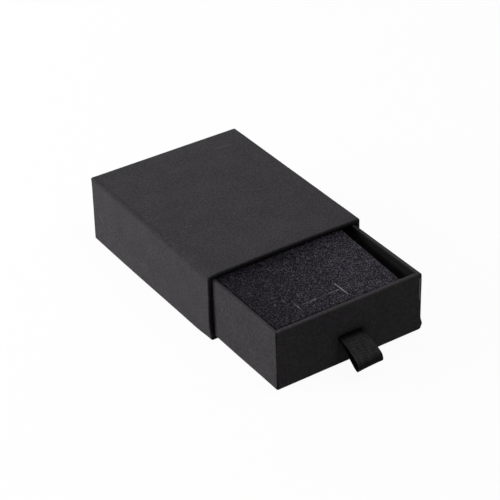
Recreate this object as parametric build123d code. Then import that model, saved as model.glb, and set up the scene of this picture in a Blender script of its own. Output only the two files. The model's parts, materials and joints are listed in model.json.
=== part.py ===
from build123d import *
import os

# A sliding drawer gift box: a paper-covered board sleeve, closed at the back, and a
# paper-covered board tray that slides in it, with a cut foam pad and a ribbon pull.
# Millimetres. X runs across the mouth, Y from the mouth to the back, Z is up.
# The origin is the centre of the sleeve's underside.

# Sleeve, outside
sleeve_width = 70.0
sleeve_depth = 90.0
sleeve_height = 29.5
sleeve_edge_radius = 0.9      # the long edges and the back edges
mouth_edge_radius = 0.35      # where the paper turns over the mouth's raw board edge
mouth_inner_share = 0.7       # its inner fold against the outer one
back_edge_share = 0.9         # the back's folds against the long ones

# Stock
board = 1.2                   # greyboard of both shells
wrap_paper = 0.16             # black covering paper
liner_paper = 0.12            # black lining paper
paste_film = 0.04             # paste between two layers that touch
corner_tape = 0.10            # paper tape that stays the board corners

# Sheets of the sleeve
mouth_turn_in = 10.0          # covering paper turned in at the mouth
back_fold = 9.0               # covering paper folded onto the back board
seam_gap = 0.3                # between the covering paper's two long edges
seam_from_side = 16.0         # the seam on the underside, from the left side
cover_sheet_margin = 1.2      # underside and back sheets stop short of the edges
tape_leg = 7.0
tape_end_gap = 1.0            # a tape stops short of its board's end
lining_gap = 0.3              # between a turned-in edge and the lining that butts it

# Running clearances of the tray in the sleeve
tray_side_clearance = 0.5
tray_floor_clearance = 0.3
tray_top_clearance = 0.4
tray_back_clearance = 0.6
tray_pulled_out = 42.0        # how far the tray stands out of the sleeve at rest

# Sheets of the tray
tray_edge_radius = 0.8        # the upright corners and the bottom edges
tray_base_share = 0.9         # the bottom's folds against the upright corners
tray_rim_radius = 0.5
rim_inner_share = 0.6         # the rim's inner fold against the outer one
lining_above_slit = 0.8       # the lining reaches this far over the ribbon's slit
flap_inset = 1.0              # the front and back flaps stop short of the corners

# Ribbon pull
ribbon_width = 10.0
ribbon_thickness = 0.35
ribbon_gap = 0.04             # between the two layers in the slit
ribbon_tail = 8.0             # each end pasted to the inside of the tray's front
ribbon_bend = 0.3             # inside radius where an end leaves the slit
slit_above_base = 11.2        # middle of the slit, above the tray's underside
slit_height = 1.8
slit_side_clearance = 0.4
slit_headroom = 0.3           # the ribbon lies this far below the slit's middle
swing_axis_out = 0.5          # the loop bends this far in front of the tray
loop_reach = 13.2             # the loop's right edge, from the bend to its nose
loop_reach_left = 11.9        # the loop hangs skewed, so its left edge is shorter
loop_drop = 4.3               # the right edge's nose below the slit
loop_drop_left = 7.2          # and the left edge's
loop_belly = 2.0              # how far the lower layer hangs away from the upper one

# Foam pad
pad_below_rim = 0.3
pad_bed_clearance = 0.05      # between the pad and the lining under it
pad_side_clearance = 0.3      # pad to the tray's left wall
pad_front_clearance = 0.3     # pad to the ribbon's ends
pad_back_clearance = 0.5
pad_gap_front = 7.0           # the pad's right side is cut askew: its gap at the front
pad_gap_back = 1.7            # and at the back
pad_edge_radius = 0.4
slit_cut = 0.3                # width of the cuts in the pad
slit_cut_depth = 9.0
holder_behind_front = 10.1    # the long cut, behind the tray's front face
holder_length = 17.0
holder_middle_x = -5.6
cross_cut_right = 7.8
cross_cut_left = 8.6

over = 1.0                    # a cut runs this far past what it cuts

# Worked out from the sizes above: the sleeve
tape_bed = corner_tape + paste_film
side_stack = wrap_paper + tape_bed                       # board to open air
sheet_stack = paste_film + wrap_paper                    # one more sheet and its paste
turned_stack = paste_film + wrap_paper                   # board to a turned-in face
mouth_y = -sleeve_depth / 2
back_y = sleeve_depth / 2
board_half = sleeve_width / 2 - side_stack
board_floor = sheet_stack + side_stack                   # underside of the bottom board
board_ceiling = sleeve_height - side_stack
board_front = mouth_y + side_stack
board_back = back_y - sheet_stack - side_stack
hollow_half = board_half - board                         # between the side boards
hollow_floor = board_floor + board
hollow_ceiling = board_ceiling - board
opening_half = hollow_half - turned_stack                # the clear mouth
opening_floor = hollow_floor + turned_stack
opening_ceiling = hollow_ceiling - turned_stack
lined_back = board_back - board - paste_film - liner_paper

# The tray
tray_half = opening_half - tray_side_clearance
tray_floor = opening_floor + tray_floor_clearance
tray_rim = opening_ceiling - tray_top_clearance
tray_front = mouth_y - tray_pulled_out
tray_depth = lined_back - tray_back_clearance - mouth_y
tray_back = tray_front + tray_depth
shell_front = tray_front + wrap_paper                    # under the front flap
shell_back = tray_back - wrap_paper
wall_front = shell_front + side_stack
wall_back = shell_back - side_stack
wall_half = tray_half - side_stack
wall_floor = tray_floor + side_stack
wall_top = tray_rim - side_stack
cavity_half = wall_half - board
cavity_front = wall_front + board
cavity_back = wall_back - board
cavity_floor = wall_floor + board
slit_z = tray_floor + slit_above_base
lining_top = slit_z + slit_height / 2 + lining_above_slit
rim_turn_in = tray_rim - lining_top - lining_gap         # paper turned in over the rim
ribbon_z = slit_z - slit_headroom
ribbon_layer_offset = (ribbon_gap + ribbon_thickness) / 2

# The pad
pad_left = -(cavity_half - turned_stack - pad_side_clearance)
pad_right_front = cavity_half - turned_stack - pad_gap_front
pad_right_back = cavity_half - turned_stack - pad_gap_back
ribbon_inside = cavity_front + turned_stack + paste_film + ribbon_thickness
pad_front = ribbon_inside + pad_front_clearance
pad_back = cavity_back - turned_stack - pad_back_clearance
pad_floor = cavity_floor + paste_film + liner_paper + pad_bed_clearance
pad_top = tray_rim - pad_below_rim


def block(x, y, z):
    """A box between two X, two Y and two Z values."""
    size = (x[1] - x[0], y[1] - y[0], z[1] - z[0])
    middle = ((x[0] + x[1]) / 2, (y[0] + y[1]) / 2, (z[0] + z[1]) / 2)
    return Pos(*middle) * Box(*size)


def edges_at(part, axis, coordinate):
    """The edges of a part whose middles lie at one coordinate."""
    near = 1e-4
    return [e for e in part.edges() if abs(getattr(e.center(), axis) - coordinate) < near]


def sleeve_form(inset, radius, edge_radius):
    """The sleeve's outer form, drawn in by an inset all round, with rounded edges."""
    half = sleeve_width / 2 - inset
    low = sheet_stack + inset
    high = sleeve_height - inset
    front = mouth_y + inset
    back = back_y - sheet_stack - inset
    form = block((-half, half), (front, back), (low, high))
    form = fillet(form.edges().filter_by(Axis.Y), radius)
    form = fillet(edges_at(form, "Y", back), radius * back_edge_share)
    if edge_radius > 0:
        form = fillet(edges_at(form, "Y", front), edge_radius)
    return form


def mouth_prism(shrink, y):
    """The clear mouth, grown or shrunk by a distance, between two Y values."""
    half = opening_half - shrink
    return block((-half, half), y, (opening_floor + shrink, opening_ceiling - shrink))


def make_sleeve_boards():
    """Five boards of the sleeve: top and bottom over the sides, the back inside them."""
    form = sleeve_form(side_stack, sleeve_edge_radius - side_stack, 0)
    run = (board_front, board_back)
    across = (-board_half, board_half)
    upright = (hollow_floor, hollow_ceiling)
    back_run = (board_back - board, board_back)
    return {
        "sleeve_top_board": form & block(across, run, (hollow_ceiling, board_ceiling)),
        "sleeve_bottom_board": form & block(across, run, (board_floor, hollow_floor)),
        "sleeve_left_board": form & block((-board_half, -hollow_half), run, upright),
        "sleeve_right_board": form & block((hollow_half, board_half), run, upright),
        "sleeve_back_board": block((-hollow_half, hollow_half), back_run, upright),
    }


def make_sleeve_wrap():
    """One covering sheet: round the four sides, turned in at the mouth, folded at the back."""
    skin = sleeve_form(0, sleeve_edge_radius, mouth_edge_radius)
    skin -= sleeve_form(wrap_paper, sleeve_edge_radius - wrap_paper, mouth_edge_radius / 2)
    skin -= mouth_prism(0, (mouth_y - over, mouth_y + 2 * wrap_paper))
    turned = mouth_prism(-wrap_paper, (mouth_y + wrap_paper / 2, mouth_y + mouth_turn_in))
    turned -= mouth_prism(0, (mouth_y - over, mouth_y + mouth_turn_in + over))
    wrap = skin + turned
    wrap = fillet(mouth_edges(wrap), mouth_edge_radius * mouth_inner_share)
    wrap -= block(
        (-sleeve_width / 2 + back_fold, sleeve_width / 2 - back_fold),
        (board_back, back_y),
        (sheet_stack + back_fold, sleeve_height - back_fold),
    )
    seam = -sleeve_width / 2 + seam_from_side
    wrap -= block((seam, seam + seam_gap), (mouth_y - over, back_y), (0, board_floor))
    return wrap


def mouth_edges(wrap):
    """The four edges of the mouth opening, where the paper turns in."""
    low = opening_floor - wrap_paper
    high = opening_ceiling + wrap_paper
    edges = [e for e in edges_at(wrap, "Y", mouth_y) if low < e.center().Z < high]
    return [e for e in edges if abs(e.center().X) < opening_half + wrap_paper]


def make_sleeve_tapes():
    """Paper tapes over the four long board corners, under the covering sheet."""
    side = sleeve_edge_radius - wrap_paper - paste_film / 2
    inset = wrap_paper + paste_film / 2
    tube = sleeve_form(inset, side, 0)
    tube -= sleeve_form(inset + corner_tape, side - corner_tape, 0)
    tapes = []
    for x in (-1, 1):
        edge_x = x * sleeve_width / 2
        for edge_z in (sheet_stack, sleeve_height):
            reach_x = sorted((edge_x, edge_x - x * tape_leg))
            up = 1 if edge_z < sleeve_height / 2 else -1
            reach_z = sorted((edge_z, edge_z + up * tape_leg))
            run = (board_front + tape_end_gap, board_back - tape_end_gap)
            tapes.append(tube & block(reach_x, run, reach_z))
    return Compound(children=tapes)


def make_cover_sheets():
    """The sheet that hides the underside's seam and the one that hides the back's folds."""
    half = sleeve_width / 2 - cover_sheet_margin
    low = cover_sheet_margin + sheet_stack
    run = (mouth_y + cover_sheet_margin, back_y - cover_sheet_margin - sheet_stack)
    underside = block((-half, half), run, (0, wrap_paper))
    high = sleeve_height - cover_sheet_margin
    back = block((-half, half), (back_y - wrap_paper, back_y), (low, high))
    return {
        "sleeve_underside_sheet": fillet(underside.edges().filter_by(Axis.Z), cover_sheet_margin),
        "sleeve_back_sheet": fillet(back.edges().filter_by(Axis.Y), cover_sheet_margin),
    }


def make_sleeve_lining():
    """The sleeve's lining, from the turned-in edge to the back board."""
    start = mouth_y + mouth_turn_in + lining_gap
    end = board_back - board - paste_film
    half = hollow_half - paste_film
    low = hollow_floor + paste_film
    high = hollow_ceiling - paste_film
    sheet = block((-half, half), (start, end), (low, high))
    half -= liner_paper
    hollow = (low + liner_paper, high - liner_paper)
    return sheet - block((-half, half), (start - over, end - liner_paper), hollow)


def tray_form(inset, radius, rim_radius):
    """The tray's outer form, drawn in by an inset all round, with rounded edges."""
    half = tray_half - inset
    low = tray_floor + inset
    run = (shell_front + inset, shell_back - inset)
    form = block((-half, half), run, (low, tray_rim - inset))
    form = fillet(form.edges().filter_by(Axis.Z), radius)
    form = fillet(edges_at(form, "Z", low), radius * tray_base_share)
    if rim_radius > 0:
        form = fillet(edges_at(form, "Z", tray_rim - inset), rim_radius)
    return form


def cavity_prism(grow, z):
    """The tray's clear cavity, grown by a distance, between two Z values."""
    half = cavity_half - turned_stack + grow
    run = (cavity_front + turned_stack - grow, cavity_back - turned_stack + grow)
    return block((-half, half), run, z)


def ribbon_slot():
    """The slit that the ribbon passes, through everything at the tray's front."""
    half = ribbon_width / 2 + slit_side_clearance
    height = (slit_z - slit_height / 2, slit_z + slit_height / 2)
    return block((-half, half), (tray_front - over, cavity_front + over), height)


def make_tray_boards():
    """The base board and the four wall boards that stand on it."""
    form = tray_form(side_stack, tray_edge_radius - side_stack, 0)
    across = (-wall_half, wall_half)
    height = (cavity_floor, wall_top)
    between = (cavity_front, cavity_back)
    front = form & block(across, (wall_front, cavity_front), height)
    back = form & block(across, (cavity_back, wall_back), height)
    left = block((-wall_half, -cavity_half), between, height)
    right = block((cavity_half, wall_half), between, height)
    return {
        "tray_base_board": form & block(across, (wall_front, wall_back), (wall_floor, cavity_floor)),
        "tray_front_board": ease_rim(front) - ribbon_slot(),
        "tray_back_board": ease_rim(back),
        "tray_left_board": ease_rim(left),
        "tray_right_board": ease_rim(right),
    }


def ease_rim(part):
    """A board's long top edges, pressed round by the paper over them."""
    top = part.edges().filter_by(GeomType.LINE).group_by(Axis.Z)[-1]
    long_edges = [edge for edge in top if edge.length > 2 * board]
    return fillet(long_edges, tray_rim_radius * rim_inner_share)


def make_tray_wrap():
    """One covering sheet: base, sides, ears round the corners, flaps, turned in at the rim."""
    inner_rim_radius = tray_rim_radius * rim_inner_share
    skin = tray_form(0, tray_edge_radius, tray_rim_radius)
    skin -= tray_form(wrap_paper, tray_edge_radius - wrap_paper, inner_rim_radius)
    skin -= cavity_prism(0, (tray_rim - 2 * wrap_paper, tray_rim + over))
    turned = cavity_prism(wrap_paper, (tray_rim - rim_turn_in, tray_rim - wrap_paper / 2))
    turned -= cavity_prism(0, (tray_rim - rim_turn_in - over, tray_rim))
    wrap = skin + turned
    inner_rim = [e for e in edges_at(wrap, "Z", tray_rim) if abs(e.center().X) < cavity_half]
    inner_rim = [e for e in inner_rim if cavity_front < e.center().Y < cavity_back]
    wrap = fillet(inner_rim, inner_rim_radius)
    for outer, shell in ((tray_front, shell_front), (tray_back, shell_back)):
        wrap += make_flap(outer, shell)
    return wrap - ribbon_slot()


def make_flap(outer, shell):
    """A front or back flap, laid over the side flaps' ears and cut short of the corners."""
    half = tray_half - flap_inset
    low = tray_floor + tray_edge_radius
    high = tray_rim - tray_rim_radius
    return block((-half, half), sorted((outer, shell)), (low, high))


def make_tray_tapes():
    """Paper tapes round the tray's four upright corners, under the covering sheet."""
    inset = wrap_paper + paste_film / 2
    radius = tray_edge_radius - inset
    tube = tray_form(inset, radius, 0)
    tube -= tray_form(inset + corner_tape, radius - corner_tape, 0)
    tapes = []
    for x in (-1, 1):
        reach_x = sorted((x * tray_half, x * (tray_half - tape_leg)))
        for run in ((shell_front, shell_front + tape_leg), (shell_back - tape_leg, shell_back)):
            tapes.append(tube & block(reach_x, run, (cavity_floor, wall_top - tape_end_gap)))
    return Compound(children=tapes)


def make_tray_lining():
    """The tray's lining: its base and walls up to the turned-in paper."""
    half = cavity_half - paste_film
    run = (cavity_front + paste_film, cavity_back - paste_film)
    low = cavity_floor + paste_film
    sheet = block((-half, half), run, (low, lining_top))
    half -= liner_paper
    run = (run[0] + liner_paper, run[1] - liner_paper)
    return sheet - block((-half, half), run, (low + liner_paper, tray_rim)) - ribbon_slot()


def make_foam_pad():
    """The foam pad, with its right side cut askew and cuts that hold a jewel's card."""
    corners = [
        (pad_left, pad_front),
        (pad_right_front, pad_front),
        (pad_right_back, pad_back),
        (pad_left, pad_back),
    ]
    outline = make_face(Polyline(corners, close=True))
    pad = Pos(0, 0, pad_floor) * extrude(outline, pad_top - pad_floor)
    pad = fillet(edges_at(pad, "Z", pad_top), pad_edge_radius)
    depth = (pad_top - slit_cut_depth, pad_top + over)
    line_y = tray_front + holder_behind_front
    left = holder_middle_x - holder_length / 2
    right = holder_middle_x + holder_length / 2
    pad -= block((left, right), (line_y - slit_cut / 2, line_y + slit_cut / 2), depth)
    for x, length in ((left, cross_cut_left), (right, cross_cut_right)):
        cut = (line_y - length / 2, line_y + length / 2)
        pad -= block((x - slit_cut / 2, x + slit_cut / 2), cut, depth)
    return pad


def make_ribbon_ends():
    """The ribbon's two ends: in through the slit, one pasted up and one pasted down."""
    ends = []
    inner = cavity_front + turned_stack + paste_film + ribbon_thickness / 2
    for way in (1, -1):
        z = ribbon_z + way * ribbon_layer_offset
        corner = [(tray_front, z), (inner, z), (inner, z + way * ribbon_tail)]
        route = FilletPolyline(corner, radius=ribbon_bend + ribbon_thickness / 2)
        strip = extrude(trace(route, ribbon_thickness), ribbon_width)
        ends.append(Plane.YZ.offset(-ribbon_width / 2) * strip)
    return Compound(children=ends)


def loop_edge(x, reach, drop):
    """One edge of the ribbon's loop: out along the upper layer, round the nose and back."""
    start_y = tray_front - swing_axis_out
    top = ribbon_z + ribbon_layer_offset
    low = ribbon_z - ribbon_layer_offset
    out = [0, 0.35, 0.7, 0.93, 1, 0.9, 0.5, 0]
    fall = [0, 0.2, 0.52, 0.8, 1, 1, 0.62, 0]
    belly = [0, 0, 0, 0, 0.15, 0.35, 1, 0]
    layer = [top, top, top, top, top, low, low, low]
    points = []
    for share, sink, sag, z in zip(out, fall, belly, layer):
        points.append((x, start_y - reach * share, z - drop * sink - loop_belly * sag))
    return Spline(points)


def make_ribbon_loop():
    """The ribbon's loop in front of the tray, skewed as it hangs."""
    left = loop_edge(-ribbon_width / 2, loop_reach_left - swing_axis_out, loop_drop_left)
    right = loop_edge(ribbon_width / 2, loop_reach - swing_axis_out, loop_drop)
    face = Face.make_surface_from_curves(left.edge(), right.edge())
    return thicken(face, ribbon_thickness / 2, both=True)


def make_parts():
    """Every sub-part by its node's name."""
    return {
        **make_sleeve_boards(),
        "sleeve_corner_tapes": make_sleeve_tapes(),
        "sleeve_wrap": make_sleeve_wrap(),
        "sleeve_lining": make_sleeve_lining(),
        **make_cover_sheets(),
        **make_tray_boards(),
        "tray_corner_tapes": make_tray_tapes(),
        "tray_wrap": make_tray_wrap(),
        "tray_lining": make_tray_lining(),
        "foam_pad": make_foam_pad(),
        "ribbon_ends": make_ribbon_ends(),
        "ribbon_loop": make_ribbon_loop(),
    }


os.makedirs("parts", exist_ok=True)
for name, part in make_parts().items():
    export_step(part, f"parts/{name}.step")
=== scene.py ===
"""A sliding drawer gift box: black paper over board, a foam pad and a ribbon pull."""
import json
import math

import bpy
import numpy as np
from bpy.props import FloatProperty, FloatVectorProperty, PointerProperty
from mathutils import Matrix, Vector, noise


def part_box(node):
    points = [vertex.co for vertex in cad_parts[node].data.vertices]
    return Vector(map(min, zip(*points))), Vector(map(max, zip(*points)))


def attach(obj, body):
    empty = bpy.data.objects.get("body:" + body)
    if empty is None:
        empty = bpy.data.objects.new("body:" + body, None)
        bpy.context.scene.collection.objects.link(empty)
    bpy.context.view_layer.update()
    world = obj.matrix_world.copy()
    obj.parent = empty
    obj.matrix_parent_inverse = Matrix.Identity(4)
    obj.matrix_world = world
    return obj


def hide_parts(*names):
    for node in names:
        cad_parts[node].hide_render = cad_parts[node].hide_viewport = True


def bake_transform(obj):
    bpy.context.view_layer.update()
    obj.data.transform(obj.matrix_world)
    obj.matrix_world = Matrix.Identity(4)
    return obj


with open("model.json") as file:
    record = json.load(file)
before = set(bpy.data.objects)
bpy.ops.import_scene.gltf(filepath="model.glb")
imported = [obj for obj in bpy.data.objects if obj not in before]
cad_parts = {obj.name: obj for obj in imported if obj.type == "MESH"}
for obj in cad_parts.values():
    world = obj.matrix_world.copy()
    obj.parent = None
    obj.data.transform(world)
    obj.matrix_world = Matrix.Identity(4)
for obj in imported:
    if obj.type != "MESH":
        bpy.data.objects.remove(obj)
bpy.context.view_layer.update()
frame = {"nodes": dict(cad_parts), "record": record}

bl_info = {
    "name": "Drawer gift box",
    "version": (1, 0, 0),
    "blender": (4, 5, 0),
    "location": "View3D > Sidebar > Drawer box",
    "description": "Builds a paper-covered drawer box with a foam pad and a ribbon pull",
    "category": "Add Mesh",
}

MM = 0.001


def box_mm(node):
    """A packed piece's lowest and highest corners, in millimetres."""
    low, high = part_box(node)
    return np.array(low) / MM, np.array(high) / MM


SLEEVE_LOW, SLEEVE_HIGH = box_mm("sleeve_wrap")
TRAY_LOW, TRAY_HIGH = box_mm("tray_wrap")
PAD_LOW, PAD_HIGH = box_mm("foam_pad")
RIBBON_LOW, RIBBON_HIGH = box_mm("ribbon_ends")


# ---- sizes and colours


def length_setting(name, about, size, least=0.0):
    """A length that a user can change; its default and least value are in millimetres."""
    return FloatProperty(
        name=name, description=about, default=size * MM, unit="LENGTH", min=least * MM)


def colour_setting(name, about, value):
    """A colour that a user can change."""
    return FloatVectorProperty(
        name=name, description=about, default=value, subtype="COLOR", size=3, min=0, max=1)


def power_setting(name, about, value):
    """A light's power that a user can change."""
    return FloatProperty(name=name, description=about, default=value, unit="POWER", min=0)


class PaperSettings(bpy.types.PropertyGroup):
    """The covering paper of the sleeve and the tray."""

    sleeve_colour: colour_setting(
        "Sleeve paper", "Colour of the sleeve's covering paper", (0.0392, 0.0363, 0.0402))
    tray_colour: colour_setting(
        "Tray paper", "Colour of the tray's covering paper", (0.0370, 0.0341, 0.0370))
    lining_colour: colour_setting(
        "Lining paper", "Colour of the paper inside the sleeve and the tray", (0.020, 0.019, 0.023))
    thickness: length_setting("Thickness", "Thickness of the covering paper", 0.16, 0.05)
    grain: length_setting("Grain", "Size of the paper's felt grain", 0.9, 0.1)


class SleeveSettings(bpy.types.PropertyGroup):
    """Folds of the sleeve, and how its board has bent in use."""

    edge_radius: length_setting("Edge radius", "Radius of the long folds", 0.9, 0.2)
    mouth_radius: length_setting(
        "Mouth radius", "Radius where the paper turns over the mouth", 0.55, 0.1)
    mouth_wall: length_setting(
        "Mouth wall", "Thickness of board and paper round the mouth", 1.7, 0.5)
    turn_in: length_setting("Turn-in", "Depth of the paper turned in at the mouth", 10, 2)
    back_fold: length_setting("Back fold", "Width of the paper folded onto the back", 9, 2)
    top_bow: length_setting("Top bow", "How far the top bows up at the mouth", 0.38)
    side_bulge: length_setting(
        "Side bulge", "How far the left side bulges near the mouth", 0.30)
    back_splay: length_setting(
        "Back splay", "How far the left side's foot stands out at the back", 0.6)
    corner_tuck: length_setting(
        "Corner tuck", "How far the mouth's lower left corner is pushed in", 0.5)
    fold_wear: length_setting(
        "Fold wear", "How far the left fold is rounded off near the mouth", 0.32)


class TraySettings(bpy.types.PropertyGroup):
    """Folds of the tray and the slit in its front."""

    edge_radius: length_setting("Edge radius", "Radius of the upright and bottom folds", 0.5, 0.2)
    rim_radius: length_setting("Rim radius", "Radius of the folds of the rim", 0.5, 0.1)
    wall: length_setting("Wall", "Thickness of the tray's wall with its paper", 1.7, 0.5)
    turn_in: length_setting("Turn-in", "Depth of the paper turned in over the rim", 12, 2)
    flap_inset: length_setting(
        "Flap inset", "How far the front flap stops short of the corner", 0.4, 0.1)
    flap_short: length_setting(
        "Flap short", "How much sooner the front flap stops on the right", 0.5)
    slit_width: length_setting("Slit width", "Width of the slit for the ribbon", 10.8, 4)
    slit_height: length_setting("Slit height", "Height of the slit for the ribbon", 1.7, 0.8)
    slit_above: length_setting(
        "Slit above base", "Middle of the slit above the tray's underside", 11.2, 2)


class PadSettings(bpy.types.PropertyGroup):
    """The foam pad and its cuts."""

    colour: colour_setting("Foam", "Colour of the foam", (0.0115, 0.0101, 0.0134))
    fleck_colour: colour_setting(
        "Flecks", "Colour of the foam's bright cell edges", (0.125, 0.114, 0.145))
    nap: length_setting("Nap", "Height of the foam's open cells", 0.16)
    cell: length_setting("Cell", "Size of the foam's open cells", 0.27, 0.1)
    cut_depth: length_setting("Cut depth", "Depth of the cuts", 9, 1)
    lip: length_setting("Lip", "How far the foam stands up along a cut", 0.22)


class RibbonSettings(bpy.types.PropertyGroup):
    """The ribbon pull."""

    colour: colour_setting("Ribbon", "Colour of the ribbon", (0.026, 0.026, 0.0263))
    thread_colour: colour_setting(
        "Raised threads", "Colour of the ribbon's raised threads", (0.073, 0.073, 0.0745))
    thickness: length_setting("Thickness", "Thickness of the ribbon", 0.35, 0.1)
    twill: length_setting("Twill", "Spacing of the weave's slanting ribs", 0.625, 0.1)


class StageSettings(bpy.types.PropertyGroup):
    """Floor, lights and camera."""

    floor_colour: colour_setting("Floor", "Colour of the floor and backdrop", (0.22, 0.22, 0.22))
    key: power_setting("Side light", "Power of the soft light on the left", 11.1)
    back: power_setting("Back light", "Power of the low soft light behind", 4.3)
    front: power_setting("Front light", "Power of the weak light high in front", 3.3)
    fill: power_setting("Top light", "Power of the soft light overhead", 0.6)
    sky: FloatProperty(
        name="Room light", description="Strength of the light from all round", default=0.18, min=0)
    lens: FloatProperty(
        name="Lens", description="Focal length of the camera", default=122.739, unit="CAMERA",
        min=10)


GROUPS = {
    "box_paper": PaperSettings,
    "box_sleeve": SleeveSettings,
    "box_tray": TraySettings,
    "box_pad": PadSettings,
    "box_ribbon": RibbonSettings,
    "box_stage": StageSettings,
}


# ---- mesh work


def smooth(t):
    """A soft step from 0 to 1."""
    t = np.clip(t, 0.0, 1.0)
    return t * t * (3 - 2 * t)


def hump(distance, spread):
    """A soft hump, 1 where the distance is 0."""
    return np.exp(-((distance / spread) ** 2))


def ripple(points, size, seed):
    """Soft noise from -1 to 1 at each point, with waves of about one size in mm."""
    shift = Vector((seed * 7.31, seed * 3.17, seed * 5.73))
    return np.array([noise.noise(Vector(p) / size + shift) for p in points])


def graded(start, end, count):
    """Values between two ends, closer together near both of them."""
    share = (1 - np.cos(np.pi * np.arange(1, count) / count)) / 2
    return start + (end - start) * share


def arc(centre, radius, start, end, count):
    """Points of an arc, both ends included; angles in degrees."""
    angles = np.radians(np.linspace(start, end, count + 1))
    return [(centre[0] + radius * math.cos(a), centre[1] + radius * math.sin(a)) for a in angles]


def rounded_section(low, high, radius, counts, corner=6):
    """A rounded rectangle, anticlockwise from its lower left corner, and its corner marks."""
    (a0, b0), (a1, b1) = low, high
    across, up = counts
    points, marks = [], []

    def flat(p, q, count):
        for t in graded(0, 1, count):
            points.append((p[0] + (q[0] - p[0]) * t, p[1] + (q[1] - p[1]) * t))
            marks.append(0.0)

    def turn(centre, start):
        made = arc(centre, radius, start, start + 90, corner)
        points.extend(made)
        marks.extend([0.5] + [1.0] * (len(made) - 2) + [0.5])

    r = radius
    turn((a0 + r, b0 + r), 180)
    flat((a0 + r, b0), (a1 - r, b0), across)
    turn((a1 - r, b0 + r), 270)
    flat((a1, b0 + r), (a1, b1 - r), up)
    turn((a1 - r, b1 - r), 0)
    flat((a1 - r, b1), (a0 + r, b1), across)
    turn((a0 + r, b1 - r), 90)
    flat((a0, b1 - r), (a0, b0 + r), up)
    return np.array(points), np.array(marks)


def border(rows, columns):
    """The (row, column) places round the edge of a grid, anticlockwise from the first."""
    loop = [(rows[0], j) for j in columns] + [(i, columns[-1]) for i in rows[1:]]
    loop += [(rows[-1], j) for j in columns[-2::-1]]
    return loop + [(i, columns[0]) for i in rows[-2:0:-1]]


def new_object(name, points, faces, material):
    """Links a new smooth-shaded object, made from points in millimetres."""
    mesh = bpy.data.meshes.new(name)
    mesh.from_pydata((np.array(points) * MM).tolist(), [], faces)
    mesh.shade_smooth()
    mesh.materials.append(material)
    made = bpy.data.objects.new(name, mesh)
    bpy.context.scene.collection.objects.link(made)
    return made


class Work:
    """Points, faces and marks of one piece while it is being made, in millimetres; a point's mark
    carries its wear, painted shade and painted light.
    """

    def __init__(self):
        self.points, self.faces, self.wear = [], [], []

    def add(self, points, wear=0.0):
        """Adds points and returns their numbers in the same layout."""
        points = np.asarray(points, float)
        start, count = len(self.points), points.size // 3
        self.points.extend(points.reshape(-1, 3))
        self.wear.extend(np.broadcast_to(wear, points.shape[:-1]).ravel())
        return np.arange(start, start + count).reshape(points.shape[:-1])

    def skin(self, index, closed=False, skip=None):
        """Faces over a grid of point numbers; skip tells which faces are left out."""
        rows, columns = index.shape
        for i in range(rows - 1):
            for j in range(columns if closed else columns - 1):
                k = (j + 1) % columns
                corners = (index[i, j], index[i, k], index[i + 1, k], index[i + 1, j])
                if skip is None or not skip(np.mean([self.points[c] for c in corners], axis=0)):
                    self.faces.append(corners)

    def thicken(self, thickness):
        """Gives the sheet its thickness, on the side away from its outer face."""
        points = np.array(self.points)
        normals = np.zeros_like(points)
        for f in self.faces:
            corner = points[list(f)]
            normals[list(f)] += np.cross(corner[2] - corner[0], corner[-1] - corner[1])
        normals /= np.maximum(np.linalg.norm(normals, axis=1, keepdims=True), 1e-12)
        count = len(points)
        sides = {side: None for f in self.faces for side in zip(f, f[1:] + f[:1])}
        rim = [(a, b) for a, b in sides if (b, a) not in sides]
        self.points = list(points) + list(points - normals * thickness)
        self.wear = list(self.wear) * 2
        self.faces += [tuple(c + count for c in reversed(f)) for f in self.faces]
        self.faces += [(b, a, a + count, b + count) for a, b in rim]

    def move(self, shift):
        """Moves every point by what the function gives for all the points."""
        points = np.array(self.points)
        self.points = list(points + shift(points))

    def piece(self, name, material, body, nodes, sharp=50, lay=None):
        """Makes the Blender object with its marks, and hides the packed pieces it stands for.

        Edges that turn by more than sharp degrees stay sharp. A piece with no body is not
        attached to one. lay gives each point's place on the flat cloth, in mm.
        """
        used = sorted({c for f in self.faces for c in f})
        number = {old: new for new, old in enumerate(used)}
        faces = [tuple(number[c] for c in f) for f in self.faces]
        made = new_object(name, np.array(self.points)[used], faces, material)
        wear = made.data.attributes.new("wear", "FLOAT", "POINT")
        wear.data.foreach_set("value", np.array(self.wear, np.float32)[used])
        if lay is not None:
            along = made.data.attributes.new("lay", "FLOAT_VECTOR", "POINT")
            along.data.foreach_set("vector", np.array(lay, np.float32)[used].ravel())
        made.data.set_sharp_from_angle(angle=math.radians(sharp))
        if body is not None:
            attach(made, body)
        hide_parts(*nodes)
        return made


# ---- materials

# A point's mark value tells three kinds apart by its range: (from, to, share at each)
MARK_KINDS = {
    "worn_and_painted_light": (0.0, 1.0, 0.0, 1.0),     # rubbed and pale; on the tray's inner wall it is painted light
    "bare": (1.0, 2.0, 0.0, 1.0),     # rubbed through to the paper's pale core
    "painted_shade": (-1.0, 0.0, 1.0, 0.0),  # painted shade: dark where shade falls, in folds, gaps, the slit, the mouth and inside the loop
}


def shader(name, roughness, specular, sheen, sheen_roughness=0.5):
    """A new material's tree, its main shader, and its own object coordinates in mm."""
    material = bpy.data.materials.new(name)
    material.use_nodes = True
    tree = material.node_tree
    main = tree.nodes["Principled BSDF"]
    main.inputs["Roughness"].default_value = roughness
    main.inputs["Specular IOR Level"].default_value = specular
    main.inputs["Sheen Weight"].default_value = sheen
    main.inputs["Sheen Roughness"].default_value = sheen_roughness
    place = add(tree, "ShaderNodeTexCoord").outputs["Object"]
    return material, tree, main, vector_math(tree, "MULTIPLY", place, (1 / MM,) * 3)


def add(tree, kind, values=None, **settings):
    """A new node with its settings, and its inputs given as numbers or links."""
    made = tree.nodes.new(kind)
    for name, value in settings.items():
        setattr(made, name, value)
    for name, value in (values or {}).items():
        if isinstance(value, bpy.types.NodeSocket):
            tree.links.new(value, made.inputs[name])
        else:
            made.inputs[name].default_value = value
    return made


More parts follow.
